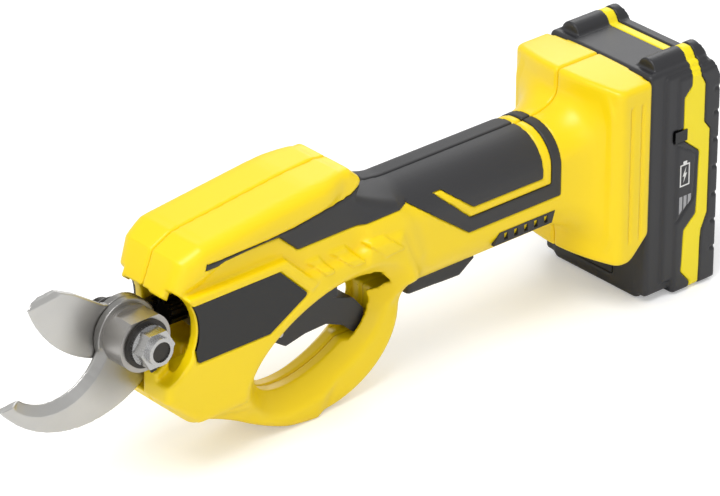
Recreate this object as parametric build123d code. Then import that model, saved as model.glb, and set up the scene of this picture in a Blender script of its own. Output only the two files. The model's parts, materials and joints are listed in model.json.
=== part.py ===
from build123d import *
import os
from math import cos, pi, radians, sin

# Battery electric pruner. Millimetres, +Z up. The blades point along -X, the battery is at +X and
# the casing splits on the plane Y = 0. Lengths along X are measured from the joint plane between
# the foot of the handle and the battery, and every piece is shifted at the end so that the origin
# lies under the middle of the tool, on the surface it stands on.

# ---- driving dimensions -------------------------------------------------------------------------
TIP_REACH = 370.0          # joint plane to the tip of the hook blade
PACK_DEPTH = 51.0          # joint plane to the back of the battery
WALL = 2.6                 # casing wall
RUN = 0.3                  # free gap between pieces that move past each other
FIT = 0.05                 # radial running fit on shafts and pins

PIVOT_X = -297.0           # blade pivot
AXIS_Z = 79.0              # height of the blade pivot and of the drive line
BOLT_R = 5.0
BLADE_T = 4.0
HUB_R = 16.9
HOOK_FACE = -BLADE_T - 0.1
BOSS_FACE = -17.0
PLATE_T = 1.2
WASHER_T = 1.5
NUT_T = 6.5
COLLAR_T = 2.5
NUT_AF = 17.0
GEAR_FACE = 7.0
GEAR_BACK = 11.0

HEAD_HALF = 24.0           # half width of the head
HEAD_REAR_X = -160.0
GUARD_HALF = 14.0
GUARD_X = -193.0
GUARD_Z = 42.0
GUARD_RX = 53.0
HOLE_RX = 37.0
HOLE_RZ = 21.0
HOLE_TILT = 12.0

ROOF_Z = 57.0             # floor of the head, above the finger loop
GRIP_Z = 76.5              # middle height of the handle
GRIP_W = 44.0
GRIP_H = 57.0
GRIP_ROUND = 19.0
GRIP_END_X = -46.0
SKIN = 1.4                 # depth of the soft grip over the casing

FOOT_TOP = 125.0
FOOT_BOTTOM = 28.0
FOOT_HALF = 38.0
FOOT_SIDE = 20.0           # depth of the foot at its sides
FOOT_BOW = 8.0             # how far its front bows forward at the middle

PACK_TOP = 124.0
PACK_HALF = 38.5
PACK_BAND_X = 27.0
PACK_BAND_T = 6.0
PACK_WALL = 2.5
PACK_RIB_R = 6.0
PACK_RIB_Y = 27.0
CELL_R = 9.1
CELL_LEN = 65.0
CELL_PITCH = 19.0
CELL_COUNT = 5

MOTOR_R = 16.0
MOTOR_LEN = 50.0
MOTOR_X = -212.0           # front face of the motor
GEARBOX_R = 17.0
GEARBOX_LEN = 36.0
PINION_R = 6.4
PINION_X = -273.0
PINION_LEN = 11.0
SECTOR_R = 34.0
SHAFT_R = 3.0

TRIGGER_X = -211.0         # trigger pin
TRIGGER_Z = 49.0
TRIGGER_HALF = 6.0
PIN_R = 1.5

CRADLE_X = [MOTOR_X - GEARBOX_LEN + 4, MOTOR_X - 8]
RAIL_HALF = 17.0
RAIL_Z0 = 48.0
RAIL_Z1 = 110.0
RAIL_SLIDE = 10.0           # how far the battery slides down before it lifts off
GRIP_X0 = -140.0
GRIP_X1 = -58.0
GRIP_EDGE_Z = 70.7
SCREW_R = 1.5
SCREW_HEAD_R = 3.0
SCREW_PLACES = [(-268, 40), (-232, 22), (-150, 40), (-12, 36)]

SHIFT_X = (TIP_REACH - PACK_DEPTH) / 2


# ---- helpers ------------------------------------------------------------------------------------
def write(name, shape):
    """Shift a finished piece to the tool's own origin and write it as one STEP file."""
    os.makedirs("parts", exist_ok=True)
    export_step(Pos(SHIFT_X, 0, 0) * shape, f"parts/{name}.step")
    print(name, len(shape.solids()))


def block(x0, x1, y0, y1, z0, z1):
    """A box between two corners."""
    middle = Pos((x0 + x1) / 2, (y0 + y1) / 2, (z0 + z1) / 2)
    return middle * Box(x1 - x0, y1 - y0, z1 - z0)


def rod_x(x0, x1, y, z, radius):
    """A round bar along X."""
    return Pos((x0 + x1) / 2, y, z) * Rot(0, 90, 0) * Cylinder(radius, x1 - x0)


def rod_y(x, z, y0, y1, radius):
    """A round bar along Y."""
    return Pos(x, (y0 + y1) / 2, z) * Rot(90, 0, 0) * Cylinder(radius, y1 - y0)


def rod_z(x, y, z0, z1, radius):
    """A round bar along Z."""
    return Pos(x, y, (z0 + z1) / 2) * Cylinder(radius, z1 - z0)


def side_face(points, corner=0.0):
    """A flat outline in the X-Z plane, with its corners rounded."""
    face = make_face(Plane.XZ * Polyline(*points, close=True))
    if corner:
        face = fillet(face.vertices(), corner)
    return face


def side_plate(points, y0, y1, corner=0.0):
    """An outline in the X-Z plane given a thickness from y0 to y1."""
    return Pos(0, y1, 0) * extrude(side_face(points, corner), amount=y1 - y0, dir=(0, -1, 0))


def side_ellipse(x, z, rx, rz, tilt, half):
    """An elliptic bar along Y."""
    face = Plane.XZ * Pos(x, z) * Rot(0, 0, tilt) * Ellipse(rx, rz)
    return extrude(face, amount=half, both=True)


def grip_section(x, shrink=0.0):
    """The rounded section of the handle at one place along X."""
    plane = Plane(origin=(x, 0, GRIP_Z), x_dir=(0, 1, 0), z_dir=(1, 0, 0))
    section = RectangleRounded(GRIP_W - 2 * shrink, GRIP_H - 2 * shrink, GRIP_ROUND - shrink)
    return plane * section


def gear_x(x0, x1, y, z, radius, teeth, tooth, bore=0.0):
    """A spur gear along X: a root cylinder with a block for each tooth."""
    gear = rod_x(x0, x1, y, z, radius - tooth)
    width = pi * radius / teeth * 0.8
    for i in range(teeth):
        bar = block(x0, x1, -width / 2, width / 2, radius - tooth - 0.4, radius)
        gear += Pos(0, y, z) * Rot(360 * i / teeth, 0, 0) * bar
    if bore:
        gear -= rod_x(x0 - 1, x1 + 1, y, z, bore)
    return gear


# ---- casing -------------------------------------------------------------------------------------
HEAD_OUTLINE = [
    (-284, 48),
    (-286, 90),
    (-277, 117),
    (-174, 128.5),
    (HEAD_REAR_X - 6, 112),
    (HEAD_REAR_X + 14, GRIP_Z + GRIP_H / 2 - 2),
    (HEAD_REAR_X + 14, GRIP_Z - GRIP_H / 2 + 2),
    (-200, 52),
    (-232, 30),
    (-272, 30),
]


def casing_body():
    """The outside of the casing as one solid, before it is hollowed and split."""
    body = side_plate(HEAD_OUTLINE, -HEAD_HALF, HEAD_HALF, 5.0)
    body += side_ellipse(GUARD_X, GUARD_Z, GUARD_RX, GUARD_Z, 0, GUARD_HALF)
    body += extrude(grip_section(HEAD_REAR_X - 10), amount=GRIP_END_X - HEAD_REAR_X + 14)
    flare_end = Plane(origin=(-FOOT_SIDE, 0, GRIP_Z), x_dir=(0, 1, 0), z_dir=(1, 0, 0))
    flare = [
        grip_section(GRIP_END_X),
        flare_end * RectangleRounded(2 * FOOT_HALF - 8, FOOT_TOP - FOOT_BOTTOM - 8, 14),
    ]
    body += loft(flare)
    plan = Polyline((-FOOT_SIDE, -FOOT_HALF), (0, -FOOT_HALF), (0, FOOT_HALF), (-FOOT_SIDE, FOOT_HALF))
    bow = ThreePointArc(
        (-FOOT_SIDE, FOOT_HALF), (-FOOT_SIDE - FOOT_BOW, 0), (-FOOT_SIDE, -FOOT_HALF)
    )
    foot = Pos(0, 0, FOOT_BOTTOM) * extrude(make_face(plan + bow), amount=FOOT_TOP - FOOT_BOTTOM)
    corner = [(0.5, FOOT_BOTTOM - 1), (-12, FOOT_BOTTOM - 1), (0.5, FOOT_BOTTOM + 12)]
    foot -= side_plate(corner, -FOOT_HALF - 1, FOOT_HALF + 1)
    return body + foot


def casing_hollow():
    """The space inside the casing."""
    inner = offset(side_face(HEAD_OUTLINE), -WALL, kind=Kind.INTERSECTION)
    room = extrude(inner, amount=HEAD_HALF - WALL, both=True)
    room &= block(-400, HEAD_REAR_X + 20, -50, 50, ROOF_Z, 200)
    bar = extrude(grip_section(HEAD_REAR_X - 8, WALL + SKIN), amount=150)
    room += bar & block(-400, -WALL, -50, 50, 0, 200)
    room += block(
        -FOOT_SIDE + WALL, -WALL, -FOOT_HALF + WALL, FOOT_HALF - WALL,
        FOOT_BOTTOM + 14, FOOT_TOP - WALL,
    )
    return room


def casing():
    """Both halves of the casing, still joined on Y = 0."""
    shell = casing_body() - casing_hollow()
    shell -= side_ellipse(GUARD_X, GUARD_Z - 3, HOLE_RX, HOLE_RZ, HOLE_TILT, GUARD_HALF + 5)
    for x in CRADLE_X:
        rib = block(x, x + 2, -HEAD_HALF + 1, HEAD_HALF - 1, ROOF_Z - 1, AXIS_Z + 14)
        shell += rib - rod_x(x - 1, x + 3, 0, AXIS_Z, GEARBOX_R + RUN)
    # slot in the nose for the two blades, and the round pocket for the pivot nut
    shell -= block(-300, -270, -BLADE_T - 1, 12, 44, 110)
    shell -= rod_y(PIVOT_X, AXIS_Z, -HEAD_HALF - 5, 30, HUB_R + 4)
    shell -= rod_y(PIVOT_X, AXIS_Z, -HEAD_HALF - 5, -HEAD_HALF + 6, 25)
    # slot for the trigger in the roof of the finger loop
    shell -= block(-214, -154, -TRIGGER_HALF - 1, TRIGGER_HALF + 1, 30, 62)
    shell -= rod_y(TRIGGER_X, TRIGGER_Z, -10, 10, PIN_R + FIT)
    # window in the back of the foot, where the rail plate sits
    shell -= block(-WALL - 1, 1, -RAIL_HALF, RAIL_HALF, RAIL_Z0, RAIL_Z1)
    # seat of the soft grips, let into the handle
    ring = extrude(grip_section(GRIP_X0), amount=GRIP_X1 - GRIP_X0)
    ring -= extrude(grip_section(GRIP_X0 - 1, SKIN), amount=GRIP_X1 - GRIP_X0 + 2)
    shell -= ring & block(-400, 0, -50, 50, GRIP_EDGE_Z, 200)
    for side in (-1, 1):
        shell -= nameplate(side)
        shell -= vent_insert(side)
    for x, z in SCREW_PLACES:
        shell -= rod_y(x, z, -12, HEAD_HALF + 2, SCREW_R + FIT)
        shell -= rod_y(x, z, 9, HEAD_HALF + 2, SCREW_HEAD_R + FIT)
    return shell


def half(shape, side):
    """The part of a shape on one side of the parting plane."""
    return shape & block(-400, 60, min(0, side * 60), max(0, side * 60), -10, 200)


def soft_grip(side):
    """The rubber skin on one side of the handle."""
    skin = extrude(grip_section(GRIP_X0 + RUN), amount=GRIP_X1 - GRIP_X0 - 2 * RUN)
    skin -= extrude(grip_section(GRIP_X0 - 1, SKIN), amount=GRIP_X1 - GRIP_X0 + 2)
    skin &= block(-400, 0, -50, 50, GRIP_EDGE_Z, 200)
    return half(skin, side)


def nameplate(side):
    """The bare gloss plate let into the side of the head."""
    outline = [(-277, 92), (-223, 92), (-206, 75), (-229, 62), (-272, 62)]
    y0 = side * (HEAD_HALF - 1.2)
    y1 = side * HEAD_HALF
    plate = side_plate(outline, min(y0, y1), max(y0, y1), 1.5)
    return plate - rod_y(PIVOT_X, AXIS_Z, -40, 40, 26)


def vent_insert(side):
    """The slotted vent let into the lower side of the handle."""
    y0 = side * (GRIP_W / 2 - 2.0)
    y1 = side * GRIP_W / 2
    outline = [(-88, 57.5), (-50, 57.5), (-48, 63.5), (-84, 63.5)]
    grille = side_plate(outline, min(y0, y1), max(y0, y1))
    return grille


def slotted_vent(side):
    """The vent with its five slots."""
    grille = vent_insert(side)
    for i in range(5):
        x = -80 + 6.5 * i
        grille -= block(x - 1.2, x + 1.2, -60, 60, 58.6, 62.4)
    return grille


body = casing()
write("casing_left", half(body, -1))
write("casing_right", half(body, 1))
write("soft_grip_left", soft_grip(-1))
write("soft_grip_right", soft_grip(1))
write("nameplate_left", nameplate(-1))
write("nameplate_right", nameplate(1))
write("vent_grille_left", slotted_vent(-1))
write("vent_grille_right", slotted_vent(1))

screws = []
for x, z in SCREW_PLACES:
    screw = rod_y(x, z, -10, 9.5, SCREW_R) + rod_y(x, z, 9, 11, SCREW_HEAD_R)
    screws.append(screw - rod_y(x, z, 10, 12, 1.0))
write("casing_screws", Compound(children=screws))


# ---- blades and pivot ---------------------------------------------------------------------------
def cutting_blade():
    """The upper blade: a curved edge below, a straight back above and a round hub."""
    tip = (-352, 109)
    edge = ThreePointArc(tip, (-336, 83), (PIVOT_X - 14, 67.5))
    hub = ThreePointArc((PIVOT_X - 14, 67.5), (PIVOT_X + HUB_R, AXIS_Z), (PIVOT_X - 10, 95))
    back = Polyline((PIVOT_X - 10, 95), (-323, 106), (-333, 111), tip)
    blade = extrude(make_face(Plane.XZ * (edge + hub + back)), amount=-BLADE_T)
    blade += rod_y(PIVOT_X, AXIS_Z, 0, BLADE_T, HUB_R)
    return blade - rod_y(PIVOT_X, AXIS_Z, -1, BLADE_T + 1, BOLT_R + FIT)


def hook_blade():
    """The fixed hook blade, with its hub and the tail that the casing holds."""
    tip = (-TIP_REACH, 64)
    outer = ThreePointArc(tip, (-335, 41.5), (-289, 51))
    tail = Polyline((-289, 51), (-262, 60), (-262, 67), (-277, 69), (PIVOT_X + 10, AXIS_Z), (-312, 80))
    inner = ThreePointArc((-312, 80), (-330, 59.5), (-358, 65)) + Line((-358, 65), tip)
    plate = extrude(make_face(Plane.XZ * (outer + tail + inner)), amount=BLADE_T)
    plate += rod_y(PIVOT_X, AXIS_Z, -BLADE_T, 0, HUB_R)
    hook = Pos(0, -0.1, 0) * plate
    return hook - rod_y(PIVOT_X, AXIS_Z, -BLADE_T - 1, 1, BOLT_R + FIT)


def boss():
    """The steel boss between the hook blade and the nut, with a flat on top."""
    ring = rod_y(PIVOT_X, AXIS_Z, BOSS_FACE, HOOK_FACE, 14.5)
    ring -= block(-320, -270, BOSS_FACE - 1, HOOK_FACE - 2, AXIS_Z + 12.2, AXIS_Z + 30)
    return ring - rod_y(PIVOT_X, AXIS_Z, BOSS_FACE - 1, 0, BOLT_R + FIT)


def lock_plate():
    """The toothed lock plate under the washer."""
    plate = rod_y(PIVOT_X, AXIS_Z, BOSS_FACE - PLATE_T, BOSS_FACE, 12.0)
    for i in range(5):
        tooth = block(10, 16, -1.6, 1.6, -PLATE_T, 0)
        turned = Rot(90, 0, 0) * Rot(0, 0, -20 - 14 * i) * tooth
        plate += Pos(PIVOT_X, BOSS_FACE - PLATE_T, AXIS_Z) * turned
    return plate - rod_y(PIVOT_X, AXIS_Z, -60, 0, BOLT_R + FIT)


def lock_nut():
    """The hexagon lock nut with its round collar."""
    y0 = BOSS_FACE - PLATE_T - WASHER_T
    hexagon = Plane.XZ * RegularPolygon(NUT_AF / 2, 6, major_radius=False)
    nut = Pos(PIVOT_X, y0, AXIS_Z) * extrude(hexagon, amount=NUT_T)
    nut += rod_y(PIVOT_X, AXIS_Z, y0 - NUT_T - COLLAR_T, y0 - NUT_T, 6.9)
    return nut - rod_y(PIVOT_X, AXIS_Z, -60, 0, BOLT_R + FIT)


bolt_end = BOSS_FACE - PLATE_T - WASHER_T - NUT_T - COLLAR_T + 0.8
washer_y = BOSS_FACE - PLATE_T
bolt = rod_y(PIVOT_X, AXIS_Z, bolt_end, GEAR_BACK + 1.5, BOLT_R)
bolt += rod_y(PIVOT_X, AXIS_Z, GEAR_BACK + 1.5, GEAR_BACK + 7, 9)
washer = rod_y(PIVOT_X, AXIS_Z, washer_y - WASHER_T, washer_y, 9.8)
washer -= rod_y(PIVOT_X, AXIS_Z, -60, 0, BOLT_R + FIT)
thrust = rod_y(PIVOT_X, AXIS_Z, GEAR_BACK + 0.1, GEAR_BACK + 1.5, 11)
thrust -= rod_y(PIVOT_X, AXIS_Z, 0, 40, BOLT_R + FIT)


def gear_sector():
    """The toothed sector on the blade, its teeth facing the pinion."""
    plate = rod_y(PIVOT_X, AXIS_Z, GEAR_FACE, GEAR_BACK, SECTOR_R)
    wedge = [
        (PIVOT_X - 8, AXIS_Z), (PIVOT_X + 30, AXIS_Z - 56),
        (PIVOT_X + 60, AXIS_Z - 56), (PIVOT_X + 60, AXIS_Z + 8),
    ]
    plate &= side_plate(wedge, 0, 20)
    plate += rod_y(PIVOT_X, AXIS_Z, BLADE_T, GEAR_BACK, 12)
    for i in range(13):
        slot = block(SECTOR_R - 10, SECTOR_R + 2, -0.9, 0.9, -1, 1.6)
        turned = Rot(-90, 0, 0) * Rot(0, 0, -12 + 4.5 * i) * slot
        plate -= Pos(PIVOT_X, GEAR_FACE, AXIS_Z) * turned
    return plate - rod_y(PIVOT_X, AXIS_Z, 0, 40, BOLT_R + FIT)


write("cutting_blade", cutting_blade())
write("hook_blade", hook_blade())
write("pivot_boss", boss())
write("lock_plate", lock_plate())
write("pivot_washer", washer)
write("pivot_nut", lock_nut())
write("pivot_bolt", bolt)
write("thrust_washer", thrust)
write("gear_sector", gear_sector())

# ---- drive line ---------------------------------------------------------------------------------
gearbox_x0 = MOTOR_X - GEARBOX_LEN
gearbox_x1 = MOTOR_X
pinion_end = PINION_X + PINION_LEN
pinion = gear_x(PINION_X, pinion_end, 0, AXIS_Z, PINION_R, 10, 1.6)
pinion += rod_x(pinion_end, gearbox_x0 + 12, 0, AXIS_Z, SHAFT_R)
carrier = rod_x(gearbox_x0 + 12, gearbox_x0 + 16, 0, AXIS_Z, 11)
write("drive_pinion", pinion)
write("planet_carrier", carrier)

bearing_x = pinion_end + 3
bearing = rod_x(bearing_x, bearing_x + 6, 0, AXIS_Z, 8)
bearing -= rod_x(bearing_x - 1, bearing_x + 7, 0, AXIS_Z, SHAFT_R + FIT)
write("output_bearing", bearing)

housing = rod_x(gearbox_x0, gearbox_x1, 0, AXIS_Z, GEARBOX_R)
housing += rod_x(bearing_x, gearbox_x0, 0, AXIS_Z, 11)
housing -= rod_x(gearbox_x0 + 3, gearbox_x1 + 1, 0, AXIS_Z, GEARBOX_R - 2)
housing -= rod_x(bearing_x - 1, bearing_x + 6, 0, AXIS_Z, 8 + FIT)
housing -= rod_x(bearing_x, gearbox_x0 + 5, 0, AXIS_Z, SHAFT_R + RUN)
write("gearbox_housing", housing)

planet_x0 = gearbox_x0 + 17
planet_x1 = planet_x0 + 8
planets = []
for i in range(3):
    angle = radians(120 * i)
    py = 7.3 * sin(angle)
    pz = AXIS_Z + 7.3 * cos(angle)
    planets.append(gear_x(planet_x0, planet_x1, py, pz, 3.9, 9, 0.9, 1.5))
write("planet_gears", Compound(children=planets))
ring_gear = rod_x(planet_x0, planet_x1, 0, AXIS_Z, GEARBOX_R - 2 - FIT)
ring_gear -= rod_x(planet_x0 - 1, planet_x1 + 1, 0, AXIS_Z, 11.6)
write("ring_gear", ring_gear)
write("sun_gear", gear_x(planet_x0, planet_x1, 0, AXIS_Z, 2.9, 8, 0.7, 1.05))

motor_x1 = MOTOR_X + MOTOR_LEN
can = rod_x(MOTOR_X, motor_x1, 0, AXIS_Z, MOTOR_R)
can -= rod_x(MOTOR_X + 2, motor_x1 + 1, 0, AXIS_Z, MOTOR_R - 1.5)
can -= rod_x(MOTOR_X - 1, MOTOR_X + 3, 0, AXIS_Z, 3)
write("motor_can", can)
cap = rod_x(motor_x1, motor_x1 + 4, 0, AXIS_Z, MOTOR_R)
cap -= rod_x(motor_x1 - 1, motor_x1 + 3, 0, AXIS_Z, 3)
write("motor_end_cap", cap)
rotor = rod_x(MOTOR_X + 6, motor_x1 - 6, 0, AXIS_Z, 10)
rotor += rod_x(planet_x0, motor_x1 + 2, 0, AXIS_Z, 1.0)
write("motor_rotor", rotor)

# ---- trigger and electronics --------------------------------------------------------------------
def trigger():
    """The curved trigger with the hooked end."""
    outline = [
        (-214, 45), (-205, 39), (-193, 41.5), (-180, 42), (-169, 37.5), (-163, 31.5),
        (-157.5, 34), (-156.5, 42), (-163, 50), (-180, 56), (-205, 56), (-214, 53),
    ]
    lever = side_plate(outline, -TRIGGER_HALF, TRIGGER_HALF, 1.5)
    return lever - rod_y(TRIGGER_X, TRIGGER_Z, -20, 20, PIN_R + FIT)


write("trigger", trigger())
write("trigger_pin", rod_y(TRIGGER_X, TRIGGER_Z, -9.8, 9.8, PIN_R))
switch = block(-194, -176, -9.5, 9.5, 61.4, 62.7)
for side in (-1, 1):
    leg_y0 = min(side * 7.5, side * 9.5)
    switch += block(-194, -176, leg_y0, leg_y0 + 2, ROOF_Z, 62)
write("trigger_switch", switch)
board_half = GRIP_W / 2 - WALL - SKIN - RUN
board = block(-150, -52, -board_half, board_half, 74, 75.6)
write("control_board", board)
caps = [rod_z(-140 + 14 * i, 0, 75.6, 88, 5) for i in range(3)]
write("capacitors", Compound(children=caps))

# ---- battery ------------------------------------------------------------------------------------
def pack_slice(x0, x1):
    """A slice of the battery body between two places along X."""
    plane = Plane(origin=(x0, 0, PACK_TOP / 2), x_dir=(0, 1, 0), z_dir=(1, 0, 0))
    body = extrude(plane * RectangleRounded(2 * PACK_HALF, PACK_TOP, 6), amount=x1 - x0)
    for side in (-1, 1):
        rib_start = max(x0, 6)
        rib_end = min(x1, 42)
        if rib_end > rib_start:
            body += rod_x(rib_start, rib_end, side * PACK_RIB_Y, PACK_TOP - 0.5, PACK_RIB_R)
    return body


pack_room = block(
    3, PACK_DEPTH - PACK_WALL, -PACK_HALF + PACK_WALL, PACK_HALF - PACK_WALL,
    PACK_WALL, PACK_TOP - PACK_WALL - 6,
)
slot_top = RAIL_Z1 + RAIL_SLIDE + RUN
rail_slot = block(-1, 8 + RUN, -RAIL_HALF - RUN, RAIL_HALF + RUN, RAIL_Z0 - RUN, slot_top)
rail_box = block(-1, 11, -RAIL_HALF - 2.6, RAIL_HALF + 2.6, RAIL_Z0 - 3, PACK_TOP + 20)
front_case = pack_slice(RUN, PACK_BAND_X)
front_case -= pack_room - rail_box
front_case -= rail_slot
latch_pocket = block(-1, 12, -13, 13, 8, 24)
front_case -= latch_pocket
charge_recess = block(14, 26, -PACK_HALF, -PACK_HALF + 0.8, 66, 92)
front_case -= charge_recess
front_case -= block(16 - RUN, 24 + RUN, -60, -PACK_HALF + 5, 84 - RUN, 90 + RUN)
band = pack_slice(PACK_BAND_X, PACK_BAND_X + PACK_BAND_T) - pack_room
rear_case = pack_slice(PACK_BAND_X + PACK_BAND_T, PACK_DEPTH) - pack_room
write("battery_front_case", front_case)
write("battery_band", band)
write("battery_rear_case", rear_case)
write("battery_latch", block(RUN, 9, -12.5, 12.5, 8.5, 23.5))
cells = []
for i in range(CELL_COUNT):
    z = 14 + CELL_PITCH * i
    cells.append(rod_y(36, z, -CELL_LEN / 2, CELL_LEN / 2, CELL_R))
write("battery_cells", Compound(children=cells))
tabs = [block(30, 42, s * 33 - 0.25, s * 33 + 0.25, 10, 96) for s in (-1, 1)]
write("cell_straps", Compound(children=tabs))
write("battery_board", block(13.1, 14.7, -30, 30, 8, 110))
holder = block(15, 17, -26, 26, 2.8, 108)
for y0 in (-26, 20):
    holder += block(15, PACK_DEPTH - PACK_WALL - RUN, y0, y0 + 6, 2.8, 108)
for i in range(CELL_COUNT):
    holder -= rod_y(36, 14 + CELL_PITCH * i, -40, 40, CELL_R + 0.1)
write("cell_holder", holder)
window = charge_recess - block(16 - RUN, 24 + RUN, -60, 0, 84 - RUN, 90 + RUN)
write("charge_window", window)
write("charge_button", block(16, 24, -PACK_HALF, -PACK_HALF + 0.8, 84, 90))
rail = block(-WALL, 0, -RAIL_HALF + 0.1, RAIL_HALF - 0.1, RAIL_Z0 + 0.1, RAIL_Z1 - 0.1)
rail += block(0, 8, -RAIL_HALF + RUN, RAIL_HALF - RUN, RAIL_Z0 + RUN, RAIL_Z1 - 0.1)
write("rail_plate", rail)
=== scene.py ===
# %% [markdown]
# # A battery pruner around its CAD frame
# The construction, the joints and every inner piece come from the frame. This script gives each
# visible surface its finish, and models the shells, grips, blades and battery as detailed meshes.

# %% Load the frame
import bpy
import json
import math
import numpy as np
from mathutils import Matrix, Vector


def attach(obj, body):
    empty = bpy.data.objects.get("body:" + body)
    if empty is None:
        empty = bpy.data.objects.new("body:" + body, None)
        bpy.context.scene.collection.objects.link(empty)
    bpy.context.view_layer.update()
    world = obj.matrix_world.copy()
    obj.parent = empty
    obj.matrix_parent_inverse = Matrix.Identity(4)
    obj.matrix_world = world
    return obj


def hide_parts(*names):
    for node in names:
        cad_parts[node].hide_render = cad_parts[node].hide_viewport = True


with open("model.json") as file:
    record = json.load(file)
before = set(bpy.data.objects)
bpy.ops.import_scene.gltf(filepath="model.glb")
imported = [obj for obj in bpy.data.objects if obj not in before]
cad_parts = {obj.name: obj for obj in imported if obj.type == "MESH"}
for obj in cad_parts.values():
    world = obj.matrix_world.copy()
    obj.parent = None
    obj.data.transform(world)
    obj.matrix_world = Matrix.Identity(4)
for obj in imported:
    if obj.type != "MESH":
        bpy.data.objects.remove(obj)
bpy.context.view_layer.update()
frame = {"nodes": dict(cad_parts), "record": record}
print("frame loaded:", len(frame["nodes"]), "nodes")

MM = 0.001
SHIFT = 159.5       # the origin lies under the middle of the tool, this far from the battery joint
PIVOT_X = -297.0    # the blades turn about this point
PIVOT_Z = 79.0


def spot(x, y, z):
    """A point in metres from millimetres counted from the face where handle and battery meet."""
    return Vector(((x + SHIFT) * MM, y * MM, z * MM))


# %% [markdown]
# ## Shader expressions
# Node trees are long to wire by hand. This class wraps one socket, so that masks and wear can be
# written as plain sums: each operator adds the Math node that does it.

# %% A socket that can be added and multiplied
class Sock:
    """One output socket of a material, for use in sums."""

    def __init__(self, tree, out):
        self.tree = tree
        self.out = out

    def math(self, operation, *others, flip=False):
        values = [self, *others]
        if flip:
            values = values[::-1]
        return self.tree.node("ShaderNodeMath", {"operation": operation}, dict(enumerate(values)))

    def __add__(self, other):
        return self.math("ADD", other)

    __radd__ = __add__

    def __sub__(self, other):
        return self.math("SUBTRACT", other)

    def __rsub__(self, other):
        return self.math("SUBTRACT", other, flip=True)

    def __mul__(self, other):
        return self.math("MULTIPLY", other)

    __rmul__ = __mul__

    def step(self, low, high):
        """0 below low, 1 above high, smooth between."""
        ends = {"From Min": low, "From Max": high, "Value": self}
        settings = {"interpolation_type": "SMOOTHSTEP"}
        return self.tree.node("ShaderNodeMapRange", settings, ends)


class Finish:
    """One material, with a Principled shader and a method that adds any node."""

    def __init__(self, name):
        self.material = bpy.data.materials.new(name)
        self.material.use_nodes = True
        self.nodes = self.material.node_tree.nodes
        self.links = self.material.node_tree.links
        self.shader = self.nodes["Principled BSDF"]

    def plug(self, socket, value):
        """Links an expression to a socket, or sets a plain value on it."""
        if isinstance(value, Sock):
            self.links.new(value.out, socket)
        else:
            socket.default_value = value

    def node(self, kind, settings, inputs, output=0):
        """Adds any node: its settings first, then the links or values of its inputs."""
        new = self.nodes.new(kind)
        for key, value in settings.items():
            setattr(new, key, value)
        for key, value in inputs.items():
            self.plug(new.inputs[key], value)
        return Sock(self, new.outputs[output])

    def place(self):
        """Object coordinates, in metres."""
        return self.node("ShaderNodeTexCoord", {}, {}, "Object")

    def noise(self, scale, detail=4.0, stretch=(1, 1, 1)):
        """A noise from 0 to 1, stretched along the axes that have a small number."""
        scaled = self.node("ShaderNodeMapping", {}, {"Vector": self.place(), "Scale": stretch})
        return self.node("ShaderNodeTexNoise", {}, {"Vector": scaled, "Scale": scale, "Detail": detail})

    def blend(self, factor, first, second):
        """A colour between two colours."""
        settings = {"data_type": "RGBA"}
        return self.node("ShaderNodeMix", settings, {0: factor, 6: first, 7: second}, 2)

    def bump(self, height, depth):
        """A fine relief, depth metres from its lowest to its highest."""
        inputs = {"Height": height, "Strength": 1.0, "Distance": depth}
        self.plug(self.shader.inputs["Normal"], self.node("ShaderNodeBump", {}, inputs))

    def set(self, **values):
        """Sets sockets of the Principled shader by name."""
        for key, value in values.items():
            self.plug(self.shader.inputs[key.replace("_", " ")], value)
        return self


# %% [markdown]
# ## Finishes
# Moulded plastic is never one flat colour: a spark-eroded mould leaves a fine grain that shows in
# the highlight, and handling polishes it unevenly. So each plastic gets a slow change of roughness
# from one noise and a fine grain from another. Ground steel gets a noise stretched along the
# direction of grinding instead.

# %% Plastics and rubber
def moulded(name, colour, roughness, grain_scale, grain_depth, sheen=0.04):
    """Moulded plastic or rubber, with an uneven polish and a fine grain."""
    finish = Finish(name)
    slow = finish.noise(18.0)
    grain = finish.noise(grain_scale, 2.0)
    dark = tuple(c * (1 - 2 * sheen) for c in colour[:3]) + (1,)
    finish.set(
        Base_Color=finish.blend(slow, dark, colour),
        Roughness=roughness + 0.1 * (slow - 0.5) + 0.06 * (grain - 0.5),
    )
    finish.bump(grain, grain_depth)
    return finish.material


def linear(r, g, b):
    """A colour for the shader from the 0 to 255 values that a paint chart gives."""
    return tuple(((c / 255 + 0.055) / 1.055) ** 2.4 if c > 10 else c / 3295 for c in (r, g, b)) + (1,)


YELLOW = linear(255, 221, 0)
finishes = {
    "casing_yellow": moulded("casing_yellow", YELLOW, 0.36, 2600, 0.00002),
    "pack_yellow": moulded("pack_yellow", linear(255, 232, 0), 0.4, 2600, 0.00002),
    "grip_rubber": moulded("grip_rubber", linear(50, 50, 52), 0.55, 3200, 0.00005),
    "pack_black": moulded("pack_black", linear(44, 44, 47), 0.42, 2400, 0.00004),
    "gloss_black": moulded("gloss_black", linear(16, 16, 17), 0.14, 900, 0.000003),
    "board_green": moulded("board_green", linear(20, 96, 50), 0.4, 1500, 0.00002),
    "cell_wrap": moulded("cell_wrap", linear(40, 120, 190), 0.35, 900, 0.00002),
    "lamp_grey": moulded("lamp_grey", linear(165, 165, 168), 0.4, 1800, 0.00001),
    "mark_white": moulded("mark_white", linear(235, 235, 232), 0.45, 1800, 0.00001),
}


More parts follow.
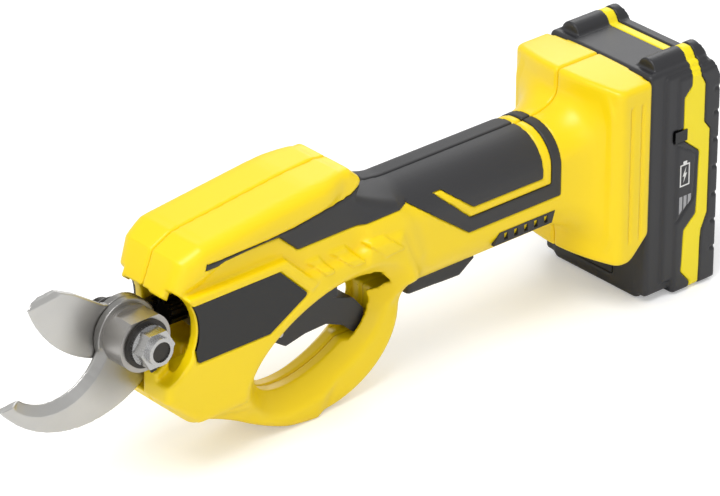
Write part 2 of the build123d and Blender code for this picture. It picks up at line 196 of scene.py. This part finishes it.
# %% Metals
def ground(name, colour, roughness, stretch, scale=260.0, depth=0.000012, pivot_shade=0.0):
    """Ground or turned steel, with a painted shade around the pivot when the last argument is over 0."""
    finish = Finish(name)
    lines = finish.noise(scale, 6.0, stretch)
    slow = finish.noise(22.0)
    dark = tuple(c * 0.72 for c in colour[:3]) + (1,)
    steel = finish.blend(slow, dark, colour)
    # Painted shade: the steel turns dark brown around the pivot, where the boss and the casing's cheeks
    # shade the blades. It fades out between 17 and 40 mm.
    if pivot_shade:
        settings = {"operation": "DISTANCE"}
        hub_place = tuple(spot(PIVOT_X, 0, PIVOT_Z))
        away = finish.node("ShaderNodeVectorMath", settings, {0: finish.place(), 1: hub_place}, "Value")
        shade_near_pivot = 1 - (away + 0.006 * (slow - 0.5)).step(0.017, 0.040)
        steel = finish.blend(shade_near_pivot * pivot_shade, steel, linear(58, 54, 50))
    finish.set(
        Base_Color=steel,
        Metallic=1.0,
        Roughness=roughness + 0.22 * (lines - 0.5) + 0.1 * (slow - 0.5),
    )
    finish.bump(lines, depth)
    return finish.material


# The blades get half strength of the painted shade around the pivot.
finishes["blade_steel"] = ground("blade_steel", linear(222, 221, 218), 0.34, (1, 12, 12), pivot_shade=0.5)
finishes["turned_steel"] = ground("turned_steel", linear(190, 187, 183), 0.34, (12, 1, 12))
finishes["zinc_steel"] = ground("zinc_steel", linear(205, 205, 205), 0.25, (6, 1, 6))
finishes["dark_steel"] = ground("dark_steel", linear(74, 72, 70), 0.4, (6, 1, 6))
print("finishes:", sorted(finishes))

# %% [markdown]
# ## Giving the CAD nodes their finish
# A node whose shape is already right keeps its mesh. It gets its finish through its material slot,
# and a small bevel, because no real edge is perfectly sharp and the bevel catches the light.

# %% Finish every CAD node
slots = {row["node"]: row["material_slot"] for row in frame["record"]["subparts"]}


def soften(obj, width, segments=2, angle=32):
    """A small bevel, width in millimetres, on the edges sharper than an angle."""
    bevel = obj.modifiers.new("edge", "BEVEL")
    bevel.width = width * MM
    bevel.segments = segments
    bevel.limit_method = "ANGLE"
    bevel.angle_limit = math.radians(angle)
    bevel.harden_normals = True


BEVELS = {"trigger": 1.2, "pivot_nut": 0.5, "pivot_boss": 0.8, "pivot_washer": 0.4, "pivot_bolt": 0.5}
for name, obj in frame["nodes"].items():
    obj.data.materials.clear()
    obj.data.materials.append(finishes[slots[name]])
    soften(obj, BEVELS.get(name, 0.15))
print("nodes finished:", len(slots))

# %% [markdown]
# ## The moulded body
# The casing is all soft transitions: the head flows into the handle, the handle flares out into the
# battery foot, and the finger loop grows from below. Such a shape is easiest as a distance field:
# each part is a formula that gives the distance to its surface, and a smooth minimum melts the
# parts together. The surface where the distance is zero is then turned into a mesh.

# %% Distance formulas
def lattice(low, high, step):
    """The X, Y and Z of every point of a regular grid, in millimetres."""
    axes = [np.arange(low[i], high[i], step, dtype=np.float32) for i in range(3)]
    return np.meshgrid(*axes, indexing="ij", sparse=True)


CASING_LOW = (-300.0, -42.0, -3.0)
CASING_STEP = 1.0
GX, GY, GZ = lattice(CASING_LOW, (4.0, 42.0, 132.0), CASING_STEP)


def melt(a, b, radius):
    """A smooth union of two distances."""
    share = np.clip(0.5 + 0.5 * (b - a) / radius, 0, 1)
    return b + (a - b) * share - radius * share * (1 - share)


def carve(a, b, radius):
    """a without b, with a rounded edge."""
    return -melt(-a, b, radius)


def outline(points, x, z):
    """The signed distance to a closed outline in the X-Z plane."""
    points = np.array(points, dtype=np.float32)
    best = np.full(np.broadcast(x, z).shape, 1e9, dtype=np.float32)
    sign = np.ones_like(best)
    for (ax, az), (bx, bz) in zip(points, np.roll(points, -1, axis=0)):
        ex, ez = bx - ax, bz - az
        along = np.clip(((x - ax) * ex + (z - az) * ez) / (ex * ex + ez * ez), 0, 1)
        best = np.minimum(best, (x - ax - ex * along) ** 2 + (z - az - ez * along) ** 2)
        crossing = ((az <= z) != (bz <= z)) & (x < ax + (z - az) * ex / (ez if ez else 1e-6))
        sign = np.where(crossing, -sign, sign)
    return np.sqrt(best) * sign


def oval(x, z, cx, cz, rx, rz, tilt=0.0):
    """Roughly the distance to an ellipse in the X-Z plane."""
    c, s = math.cos(math.radians(tilt)), math.sin(math.radians(tilt))
    u = (x - cx) * c + (z - cz) * s
    v = -(x - cx) * s + (z - cz) * c
    k0 = np.sqrt((u / rx) ** 2 + (v / rz) ** 2)
    k1 = np.sqrt((u / rx ** 2) ** 2 + (v / rz ** 2) ** 2) + 1e-6
    return k0 * (k0 - 1) / k1


def slab(distance, half, radius, y):
    """An outline given a thickness, with rounded edges."""
    return -melt(-distance, -(np.abs(y) - half), radius)


# %% [markdown]
# ## Head, dome and cheeks
# From the side the head is a motor cover with a smooth dome on it and a flat cheek below, parted by
# a raised ridge. Each of them is an outline in the X-Z plane that is given a thickness, and the
# dome narrows towards both ends, so its thickness is a formula of X.

# %% The head
HEAD = [(-284, 46), (-286, 92), (-278, 112), (-262, 119), (-200, 126.5), (-176, 127.5), (-168, 120),
        (-172, 112), (-150, 100), (-140, 70), (-150, 50), (-200, 46), (-232, 24), (-270, 29)]
DOME = [(-286, 96), (-279, 114), (-268, 119.5), (-205, 126.5), (-182, 128), (-170, 122), (-176, 115),
        (-212, 110), (-255, 107), (-274, 98), (-280, 88)]
CHEEK = [(-290, 46), (-288, 92), (-222, 96), (-206, 84), (-150, 84), (-140, 60), (-200, 47),
         (-226, 30), (-270, 29)]
RIDGE = [(-287, 92), (-222, 92.5), (-204, 76), (-200, 78.5), (-219, 97), (-287, 97)]
HEAD_HALF = 20.0
DOME_HALF = 24.5
CHEEK_HALF = 24.0
RIDGE_HALF = 25.2
head = slab(outline(HEAD, GX, GZ), HEAD_HALF, 5.0, GY)
narrow_rear = 15 * np.clip((GX + 198) / 30, 0, 1) ** 2
narrow_nose = 5 * np.clip((-262 - GX) / 22, 0, 1) ** 2
dome = slab(outline(DOME, GX, GZ), DOME_HALF - narrow_rear - narrow_nose, 7.0, GY)
cheek = slab(outline(CHEEK, GX, GZ), CHEEK_HALF, 4.0, GY)
ridge = slab(outline(RIDGE, GX, GZ), RIDGE_HALF, 1.5, GY)
body = melt(melt(head, dome, 2.0), cheek, 2.0)
print("head field", body.shape)

# %% [markdown]
# ## Handle and foot
# The handle is a rounded bar that opens like a bell where it meets the battery foot. The bell
# follows a quarter of a circle: it adds nothing at first and most at the end. The foot is a block
# with a bowed front, an arched top and a slope cut off its lower edge.

# %% Handle and foot
GRIP_MID = 76.5
GRIP_HALF_Y = 22.0
GRIP_HALF_Z = 28.5
GRIP_CORNER = 19.0
BELL_START = -48
BELL_LENGTH = 25
along = np.clip((GX - BELL_START) / BELL_LENGTH, 0, 1)
flare = 1 - np.sqrt(1 - along ** 2 + 1e-9)
corner = GRIP_CORNER - 5 * flare
qy = np.abs(GY) - (GRIP_HALF_Y + 11 * flare) + corner
qz = np.abs(GZ - GRIP_MID) - (GRIP_HALF_Z + 15 * flare) + corner
outside = np.sqrt(np.maximum(qy, 0) ** 2 + np.maximum(qz, 0) ** 2)
handle = outside + np.minimum(np.maximum(qy, qz), 0) - corner
handle = np.maximum(handle, np.maximum(-165 - GX, GX + 14))
FOOT_HALF = 38
FOOT_TOP = 125
FOOT_FLOOR = 28
front = -28 + 8 * (GY / FOOT_HALF) ** 2
crown = FOOT_TOP - 3.0 * (GY / FOOT_HALF) ** 2
foot = -melt(-(front - GX), -(np.abs(GY) - FOOT_HALF), 3.5)
foot = -melt(-foot, -np.maximum(GZ - crown, FOOT_FLOOR - GZ), 3.0)
foot = np.maximum(foot, GX)
foot = -melt(-foot, -((GX + 12) * 0.7071 - (GZ - FOOT_FLOOR) * 0.7071), 2.0)
body = melt(body, handle, 12.0)
print("handle", 2 * GRIP_HALF_Y, "by", 2 * GRIP_HALF_Z, "mm")

# %% [markdown]
# ## Finger guard
# The guard is an oval plate below the trigger, tied to the nose by a web and opened by a tilted
# oval whose edge slopes with Y, as a draft angle in the mould would. Three slanted fields stand
# proud of the side above it. The foot melts in after them, and the loop is cut last.

# %% Finger guard, slanted fields and foot
WEB = [(-280, 60), (-278, 36), (-270, 28.5), (-234, 11.5), (-210, 2.5), (-193, 0.5), (-182, 20),
       (-220, 55)]
GUARD_HALF = 14.0
WEB_HALF = 15.0
FIELD_HEIGHT = 1.3
guard = slab(oval(GX, GZ, -193, 42, 53, 42), GUARD_HALF, 4.0, GY)
web = slab(outline(WEB, GX, GZ), WEB_HALF, 5.0, GY)
body = melt(body, melt(guard, web, 6.0), 8.0)
body = melt(body, ridge, 1.5)
CHEVRONS = [
    [(-204, 89), (-197, 89.5), (-190, 81), (-195, 80.5)],
    [(-190, 89), (-181, 89.5), (-172, 80), (-179, 79.5)],
    [(-172, 89.5), (-160, 89.5), (-149, 80), (-160, 79)],
]
for chevron in CHEVRONS:
    body = np.minimum(body, np.maximum(outline(chevron, GX, GZ), body - FIELD_HEIGHT))
body = melt(body, foot, 5.0)
loop = oval(GX, GZ, -191, 38, 35, 16.5, 20) - 0.9 * np.maximum(np.abs(GY) - 6.0, 0)
body = carve(body, loop, 2.0)
print("slanted fields:", len(CHEVRONS))

# %% [markdown]
# ## Recesses
# The nameplate sits in a shallow pocket of its own outline. Around the pivot the cheek steps back,
# and nearer still the casing is cut right through, so that the hub of the blades stands free. Two
# fine grooves cross the side of the foot.

# %% Recesses
PLATE = [(-277, 92), (-223, 92), (-206, 75), (-229, 62), (-272, 62)]
PLATE_FLOOR_Y = 22.7
BOSS_RECESS = 25.5
HUB_OPENING = 21.0
FOOT_GROOVES = (-13.0, -6.0)
pocket = np.maximum(outline(PLATE, GX, GZ) - 0.4, PLATE_FLOOR_Y - np.abs(GY))
body = np.maximum(body, -pocket)
radial = np.sqrt((GX - PIVOT_X) ** 2 + (GZ - PIVOT_Z) ** 2)
body = carve(body, np.maximum(radial - BOSS_RECESS, 15 - np.abs(GY)), 1.0)
body = carve(body, np.maximum(radial - HUB_OPENING, -26 - GY), 1.0)
for groove_x in FOOT_GROOVES:
    line = np.maximum(np.abs(GX - groove_x) - 0.9, np.abs(GZ - 76) - 36)
    body = np.maximum(body, -np.maximum(line, 37.0 - np.abs(GY)))
print("casing field", body.shape)

# %% [markdown]
# ## From field to mesh
# Blender's remesher starts from a mesh, and here there is only a formula, so a short routine does
# the work: it puts one vertex into every grid cell that the surface crosses, at the mean of the
# crossings on the cell's edges, and joins the cells around each crossed edge with a quad.

# %% From field to mesh
def field_mesh(name, field, low, step):
    """Puts a vertex in every cell that the surface crosses, and joins them with quads."""
    inside = field < 0
    total = np.zeros(tuple(n - 1 for n in field.shape) + (3,), dtype=np.float32)
    count = np.zeros(total.shape[:3], dtype=np.float32)
    nx, ny, nz = count.shape
    crossings = []
    for axis in range(3):
        a = [slice(None)] * 3
        b = [slice(None)] * 3
        a[axis] = slice(0, -1)
        b[axis] = slice(1, None)
        fa, fb = field[tuple(a)], field[tuple(b)]
        where = np.argwhere(inside[tuple(a)] != inside[tuple(b)])
        va = fa[tuple(where.T)]
        vb = fb[tuple(where.T)]
        share = va / (va - vb)
        points = where.astype(np.float32)
        points[:, axis] += share
        crossings.append((where, va < 0))
        others = [i for i in range(3) if i != axis]
        for du in (0, -1):
            for dv in (0, -1):
                cell = where.copy()
                cell[:, others[0]] += du
                cell[:, others[1]] += dv
                good = ((cell >= 0) & (cell < (nx, ny, nz))).all(axis=1)
                np.add.at(total, tuple(cell[good].T), points[good])
                np.add.at(count, tuple(cell[good].T), 1)
    used = count > 0
    index = np.full(count.shape, -1, dtype=np.int64)
    index[used] = np.arange(used.sum())
    verts = total[used] / count[used][:, None] * step + np.array(low)
    faces = []
    for axis, (where, outward) in enumerate(crossings):
        u, v = [i for i in range(3) if i != axis]
        ring = []
        for du, dv in ((0, 0), (-1, 0), (-1, -1), (0, -1)):
            cell = where.copy()
            cell[:, u] += du
            cell[:, v] += dv
            ring.append(index[tuple(np.clip(cell, 0, np.array(count.shape) - 1).T)])
        quads = np.stack(ring, axis=1)
        turn = outward if axis != 1 else ~outward
        quads[~turn] = quads[~turn][:, ::-1]
        faces.append(quads[(quads >= 0).all(axis=1)])
    faces = np.concatenate(faces)
    verts[:, 0] += SHIFT
    mesh = bpy.data.meshes.new(name)
    mesh.from_pydata((verts * MM).tolist(), [], faces.tolist())
    mesh.update()
    mesh.validate()
    obj = bpy.data.objects.new(name, mesh)
    bpy.context.scene.collection.objects.link(obj)
    for polygon in mesh.polygons:
        polygon.use_smooth = True
    print(name, len(verts), "points")
    return obj


# %% [markdown]
# ## Shells and soft grips
# The real casing is two hollow halves with the grip moulded over them, so the same field gives all
# four pieces. The rubber takes the outer millimetres inside its own outline, and a yellow stripe is
# left out of it. The cavity is the hollow for the motor and the gears, open at the nose and at the
# trigger.

# %% Shells and soft grips
GRIP_LINE_Z = 70.7
GRIP = [(-267, 108), (-220, 107.5), (-208.6, 97), (-141, 98), (-104, GRIP_LINE_Z), (-45, GRIP_LINE_Z),
        (-45, 130), (-166, 130), (-170, 118), (-176, 114.5), (-212, 109.5), (-266, 111)]
STRIPE = [(-124, 97), (-119, 97), (-101, 83.3), (-56, 83), (-56, 120), (-50, 120), (-50, 78.4), (-103, 78.4)]
RUBBER_DEPTH = 1.6
HEAD_WALL = 3
HANDLE_WALL = 3.9
PARTING_GAP = 0.12
cavity = np.maximum(np.maximum(outline(HEAD, GX, GZ) + HEAD_WALL, np.abs(GY) - 17.3), 58 - GZ)
cavity = np.minimum(cavity, np.maximum(handle + HANDLE_WALL, GX + 50))
nose_slot = np.maximum(np.maximum(GX + 262, np.abs(GY - 3.5) - 8.7), np.abs(GZ - 70) - 27)
trigger_slot = np.maximum(np.maximum(np.abs(GX + 184) - 31, np.abs(GY) - 7), np.abs(GZ - 46) - 16)
cavity = np.minimum(cavity, np.minimum(nose_slot, trigger_slot))
INSERT = [(-136, 56), (-134, 43.5), (-101, 42.3), (-91, 49), (-95, 56)]
lower_insert = slab(outline(INSERT, GX, GZ), 13.0, 2.5, GY)
body = np.maximum(body, -(lower_insert - 0.3))
grip_zone = outline(GRIP, GX, GZ)
stripe_zone = outline(STRIPE, GX, GZ)
collar_zone = np.abs(GX + 47.5) - 3.0
collar = np.maximum(collar_zone, GRIP_LINE_Z - GZ)
rubber_zone = np.minimum(np.maximum(grip_zone, -stripe_zone), collar)
rubber_skin = np.maximum(rubber_zone, -(body + RUBBER_DEPTH))
rubber = np.maximum(body - 0.35, rubber_skin)
yellow = np.maximum(np.maximum(body, -rubber_skin), -cavity)


def shell_half(name, field, side, nodes, finish):
    """One half of a field, cut on the parting plane."""
    cut = np.maximum(field, PARTING_GAP - side * GY)
    obj = field_mesh(name, cut, CASING_LOW, CASING_STEP)
    obj.data.materials.append(finishes[finish])
    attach(obj, "casing")
    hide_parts(*nodes)
    return obj


for side, word in ((-1, "left"), (1, "right")):
    shell_half(f"shell_{word}", yellow, side, [f"casing_{word}"], "casing_yellow")
    shell_half(f"grip_{word}", rubber, side, [f"soft_grip_{word}"], "grip_rubber")

insert = field_mesh("lower_insert", np.maximum(lower_insert, -cavity), CASING_LOW, CASING_STEP)
insert.data.materials.append(finishes["grip_rubber"])
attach(insert, "casing")

# %% [markdown]
# ## The blades
# The cutting blade is ground on its far face, from a thin edge to its full thickness. The hook has
# a wide bevel along its inner curve, so its thickness grows with the distance from that curve.
# A finer field gives both, and the bevel is a slope in the formula.

# %% Blades
BLADE_LOW = (-373.0, -5.5, 38.0)
BLADE_STEP = 0.5
BX, BY, BZ = lattice(BLADE_LOW, (-276.0, 5.5, 114.0), BLADE_STEP)


def arc(start, middle, end, count=14):
    """Points along the circle through three points."""
    (x1, z1), (x2, z2), (x3, z3) = start, middle, end
    d = 2 * (x1 * (z2 - z3) + x2 * (z3 - z1) + x3 * (z1 - z2))
    s1, s2, s3 = x1 ** 2 + z1 ** 2, x2 ** 2 + z2 ** 2, x3 ** 2 + z3 ** 2
    cx = (s1 * (z2 - z3) + s2 * (z3 - z1) + s3 * (z1 - z2)) / d
    cz = (s1 * (x3 - x2) + s2 * (x1 - x3) + s3 * (x2 - x1)) / d
    radius = math.hypot(x1 - cx, z1 - cz)
    a1, a2, a3 = (math.atan2(z - cz, x - cx) for x, z in (start, middle, end))
    turn = (a3 - a1) % (2 * math.pi)
    if (a2 - a1) % (2 * math.pi) > turn:
        turn -= 2 * math.pi
    angles = [a1 + turn * i / count for i in range(count + 1)]
    return [(cx + radius * math.cos(a), cz + radius * math.sin(a)) for a in angles]


def distance_to(points, x, z):
    """The distance to an open line of points."""
    best = np.full(np.broadcast(x, z).shape, 1e9, dtype=np.float32)
    for (ax, az), (bx, bz) in zip(points, points[1:]):
        ex, ez = bx - ax, bz - az
        share = np.clip(((x - ax) * ex + (z - az) * ez) / (ex * ex + ez * ez), 0, 1)
        best = np.minimum(best, np.hypot(x - ax - ex * share, z - az - ez * share))
    return best


# %% [markdown]
# ### The two outlines
# Both blades are arcs through three points, joined to the round hub. The ground face is the blade's
# thickness less a slope that starts at the cutting edge.

# %% Cutting blade and hook
BORE_R = 5.1
HUB_R = 16.9
BLADE_T = 4.0
SIDE_GAP = 0.05     # between the cutting blade and the plane that it slides on
hub = np.hypot(BX - PIVOT_X, BZ - PIVOT_Z)
bore = BORE_R - hub
edge = arc((-352, 109), (-337, 83.5), (-311, 67.5))
back = [(-307, 95), (-323, 106), (-333, 111)]
cutter = np.minimum(outline(edge + [(-290, 72), (-290, 90)] + back, BX, BZ), hub - HUB_R)
ground_back = BLADE_T - (BLADE_T - 0.4 * distance_to(edge, BX, BZ)).clip(0, 3.6)
cutter = np.maximum(np.maximum(cutter, bore), np.maximum(SIDE_GAP - BY, BY - ground_back))
top_edge = SIDE_GAP + (1.6 - 0.7 * distance_to([(-352, 109), (-333, 111)], BX, BZ)).clip(0, 1.4)
cutter = np.maximum(cutter, top_edge - BY)
outer = arc((-370, 64), (-335, 41.5), (-289, 51))
inner = arc((-311, 80), (-328, 59.5), (-358, 65))
jaw = outline(outer + [(-278, 60), (-280, 74)] + inner, BX, BZ)
jaw = np.minimum(jaw, hub - HUB_R)
inner_gap = distance_to(inner[2:], BX, BZ)
ground_face = 4.1 - (3.0 - 0.62 * inner_gap).clip(0, 3.0) * (BX < -305)
jaw = np.maximum(np.maximum(jaw, bore), np.maximum(BY + 0.1, -BY - ground_face))
for name, field, node, carrier in (
    ("cutting_blade_ground", cutter, "cutting_blade", "blade"),
    ("hook_blade_ground", jaw, "hook_blade", "casing"),
):
    blade = field_mesh(name, field, BLADE_LOW, BLADE_STEP)
    blade.data.materials.append(finishes["blade_steel"])
    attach(blade, carrier)
    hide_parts(node)

# %% [markdown]
# ## The battery
# Two black mouldings clamp a yellow band. Its narrow front slides against the foot of the handle,
# and the sides step out into a panel that carries the charge window.

# %% Battery body
PACK_LOW = (-1.0, -40.0, -2.0)
PACK_STEP = 0.75
PX, PY, PZ = lattice(PACK_LOW, (53.0, 40.0, 131.0), PACK_STEP)


def brick(x0, x1, half, z0, z1, radius):
    """A box that is the same on both sides of the parting plane, with rounded edges."""
    qx = np.abs(PX - (x0 + x1) / 2) - (x1 - x0) / 2 + radius
    qy = np.abs(PY) - half + radius
    qz = np.abs(PZ - (z0 + z1) / 2) - (z1 - z0) / 2 + radius
    outside = np.sqrt(np.maximum(qx, 0) ** 2 + np.maximum(qy, 0) ** 2 + np.maximum(qz, 0) ** 2)
    return outside + np.minimum(np.maximum(np.maximum(qx, qy), qz), 0) - radius


pack = brick(0.4, 40, 36.0, 3, 124, 2.5)
pack = np.minimum(pack, brick(17, 51, 38.3, 0.3, 119, 2.5))
pack = np.minimum(pack, brick(10, 44, 37.5, 8, 121, 2.0))
pack = melt(pack, brick(0.4, 20, 30, 0.2, 22, 3.0), 2.0)
for rib_y in (-27, 27):
    rib = np.maximum(np.hypot(PY - rib_y, PZ - 123.3) - 6.1, np.abs(PX - 24) - 18)
    pack = melt(pack, rib, 1.2)
pack = np.maximum(pack, (PX - 46 + (PZ - 112).clip(0, 99) * 0.45))
GROOVE_HEIGHTS = (18, 33, 48, 63, 78, 93, 106)
for groove_z in GROOVE_HEIGHTS:
    groove = np.maximum(np.abs(PZ - groove_z) - 0.7, np.maximum(42 - PX, 37.4 - np.abs(PY)))
    pack = np.maximum(pack, -groove)
print("battery field", pack.shape)

# %% [markdown]
# ### Band, panel and openings
# The band crosses the side with two steps, and the black mouldings leave its outline free. Slots
# for the rails, the latch and the charge button are cut through the same field.

# %% Band, panel and openings
PACK_WALL = 2.4
BAND = [
    (27, 132), (27, 112), (22, 107), (22, 84), (33, 75), (32, 41), (24, 34), (23, 11), (29, 4), (29, -3),
    (35, -3), (36, 30), (40, 39), (40, 85), (36, 90), (36, 111), (33, 116), (33, 132),
]
band_zone = outline(BAND, PX, PZ)
PANEL = [(15, 84), (29, 76), (31, 73), (30, 51), (19, 40), (17, 42)]
panel_line = np.abs(outline(PANEL, PX, PZ)) - 0.45
slot = np.maximum(np.maximum(PX - 8.3, np.abs(PY) - 17.3), np.maximum(47.7 - PZ, PZ - 121.3))
key_hole = np.maximum(np.maximum(np.abs(PX - 20) - 4.3, np.abs(PZ - 87) - 3.3), 33.5 + PY)
black = np.maximum(pack, -np.maximum(panel_line, 37.6 - np.abs(PY)))
black = np.maximum(np.maximum(black, -slot), -key_hole)
latch_hole = np.maximum(np.maximum(PX - 12, np.abs(PY) - 13), np.abs(PZ - 16) - 8)
black = np.maximum(black, -latch_hole)
core = -(pack + PACK_WALL)
black = np.maximum(np.maximum(black, -(band_zone - 0.1)), core)
yellow_band = np.maximum(np.maximum(pack + 0.25, band_zone + 0.15), core)
for name, field, finish, nodes in (
    ("battery_mouldings", black, "pack_black", ("battery_front_case", "battery_rear_case")),
    ("battery_band_moulding", yellow_band, "pack_yellow", ("battery_band",)),
):
    piece = field_mesh(name, field, PACK_LOW, PACK_STEP)
    piece.data.materials.append(finishes[finish])
    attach(piece, "battery")
    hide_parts(*nodes)


# %% [markdown]
# ## Charge marks
# The printed symbol and the three charge lamps are flat shapes a tenth of a millimetre proud of the
# panel. Real thin plates are used, since a mark painted on by an image would blur up close.

# %% Charge marks
def thin_plate(name, outlines, y0, y1, finish, carrier):
    """Flat shapes in the X-Z plane with a little thickness, as one mesh."""
    verts, faces = [], []
    for points in outlines:
        first = len(verts)
        n = len(points)
        verts += [spot(x, y0, z) for x, z in points] + [spot(x, y1, z) for x, z in points]
        faces.append(tuple(first + i for i in range(n)))
        faces.append(tuple(first + 2 * n - 1 - i for i in range(n)))
        for i in range(n):
            j = (i + 1) % n
            faces.append((first + j, first + i, first + n + i, first + n + j))
    mesh = bpy.data.meshes.new(name)
    mesh.from_pydata(verts, [], faces)
    mesh.update()
    obj = bpy.data.objects.new(name, mesh)
    bpy.context.scene.collection.objects.link(obj)
    obj.data.materials.append(finishes[finish])
    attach(obj, carrier)
    soften(obj, 0.05)
    return obj


def frame_bars(x0, x1, z0, z1, wide):
    """The four bars of a rectangular frame."""
    return [
        [(x0, z0), (x1, z0), (x1, z0 + wide), (x0, z0 + wide)],
        [(x0, z1 - wide), (x1, z1 - wide), (x1, z1), (x0, z1)],
        [(x0, z0 + wide), (x0 + wide, z0 + wide), (x0 + wide, z1 - wide), (x0, z1 - wide)],
        [(x1 - wide, z0 + wide), (x1, z0 + wide), (x1, z1 - wide), (x1 - wide, z1 - wide)],
    ]


MARK_Y = (-38.2, -38.42)
symbol = frame_bars(20, 26.5, 59, 71, 0.7) + [[(22, 71), (24.5, 71), (24.5, 72.6), (22, 72.6)]]
symbol += [[(22.4, 61), (24.6, 66), (23.4, 66), (24, 69.4), (21.8, 64.4), (23, 64.4)]]
thin_plate("charge_symbol", symbol, *MARK_Y, "mark_white", "battery")
bars = [[(20 + 2.9 * i, 53.5), (22 + 2.9 * i, 53.5), (22 + 2.9 * i, 46 + 2 * i), (20 + 2.9 * i, 44 + 2 * i)]
        for i in range(3)]
lights = thin_plate("charge_bars", bars, *MARK_Y, "lamp_grey", "battery")
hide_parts("charge_window")

# %% [markdown]
# ## Camera, floor and light
# A long lens keeps the tool's edges nearly parallel. The floor is a pale matt plane that glows a
# little to the camera alone, so that it turns white where no shadow falls and still shows a shadow.

# %% Camera
EYE = Vector((-1.362, -1.5736, 1.1795))
LOOK = Vector((0.57927, 0.66637, -0.46947))
camera_data = bpy.data.cameras.new("camera")
camera_data.lens = 250
camera_data.sensor_width = 36
camera_data.clip_end = 50
camera = bpy.data.objects.new("camera", camera_data)
camera.location = EYE
camera.rotation_euler = LOOK.to_track_quat("-Z", "Y").to_euler()
bpy.context.scene.collection.objects.link(camera)
bpy.context.scene.camera = camera
print("camera at", tuple(round(v, 3) for v in EYE))

# %% Floor and lights
bpy.ops.mesh.primitive_plane_add(size=12, location=(0, 0, -0.0005))
floor = bpy.context.object
floor.name = "floor"
paper = Finish("paper")
seen = paper.node("ShaderNodeLightPath", {}, {}, "Is Camera Ray")
glow = paper.blend(seen, (0, 0, 0, 1), (0.3, 0.3, 0.3, 1))
paper.set(Base_Color=(0.86, 0.86, 0.86, 1), Roughness=0.9, Emission_Color=glow, Emission_Strength=1.0)
floor.data.materials.append(paper.material)


def soft_light(name, place, size, power):
    """A square lamp that faces the tool; the size is in metres and the power in watts."""
    data = bpy.data.lights.new(name, "AREA")
    data.size = size
    data.energy = power
    lamp = bpy.data.objects.new(name, data)
    lamp.location = place
    lamp.rotation_euler = (Vector((0, 0, 0.05)) - Vector(place)).to_track_quat("-Z", "Y").to_euler()
    bpy.context.scene.collection.objects.link(lamp)


SKY_STRENGTH = 0.62
soft_light("key", (-1.0, -0.4, 2.2), 1.2, 32)
soft_light("fill", (-1.6, -2.2, 0.9), 1.6, 8)
soft_light("rim", (1.6, 1.2, 1.2), 1.2, 10)
world = bpy.data.worlds.new("world")
bpy.context.scene.world = world
world.use_nodes = True
sky = world.node_tree.nodes["Background"]
sky.inputs["Color"].default_value = (1, 1, 1, 1)
sky.inputs["Strength"].default_value = SKY_STRENGTH
bpy.context.scene.view_settings.view_transform = "Standard"
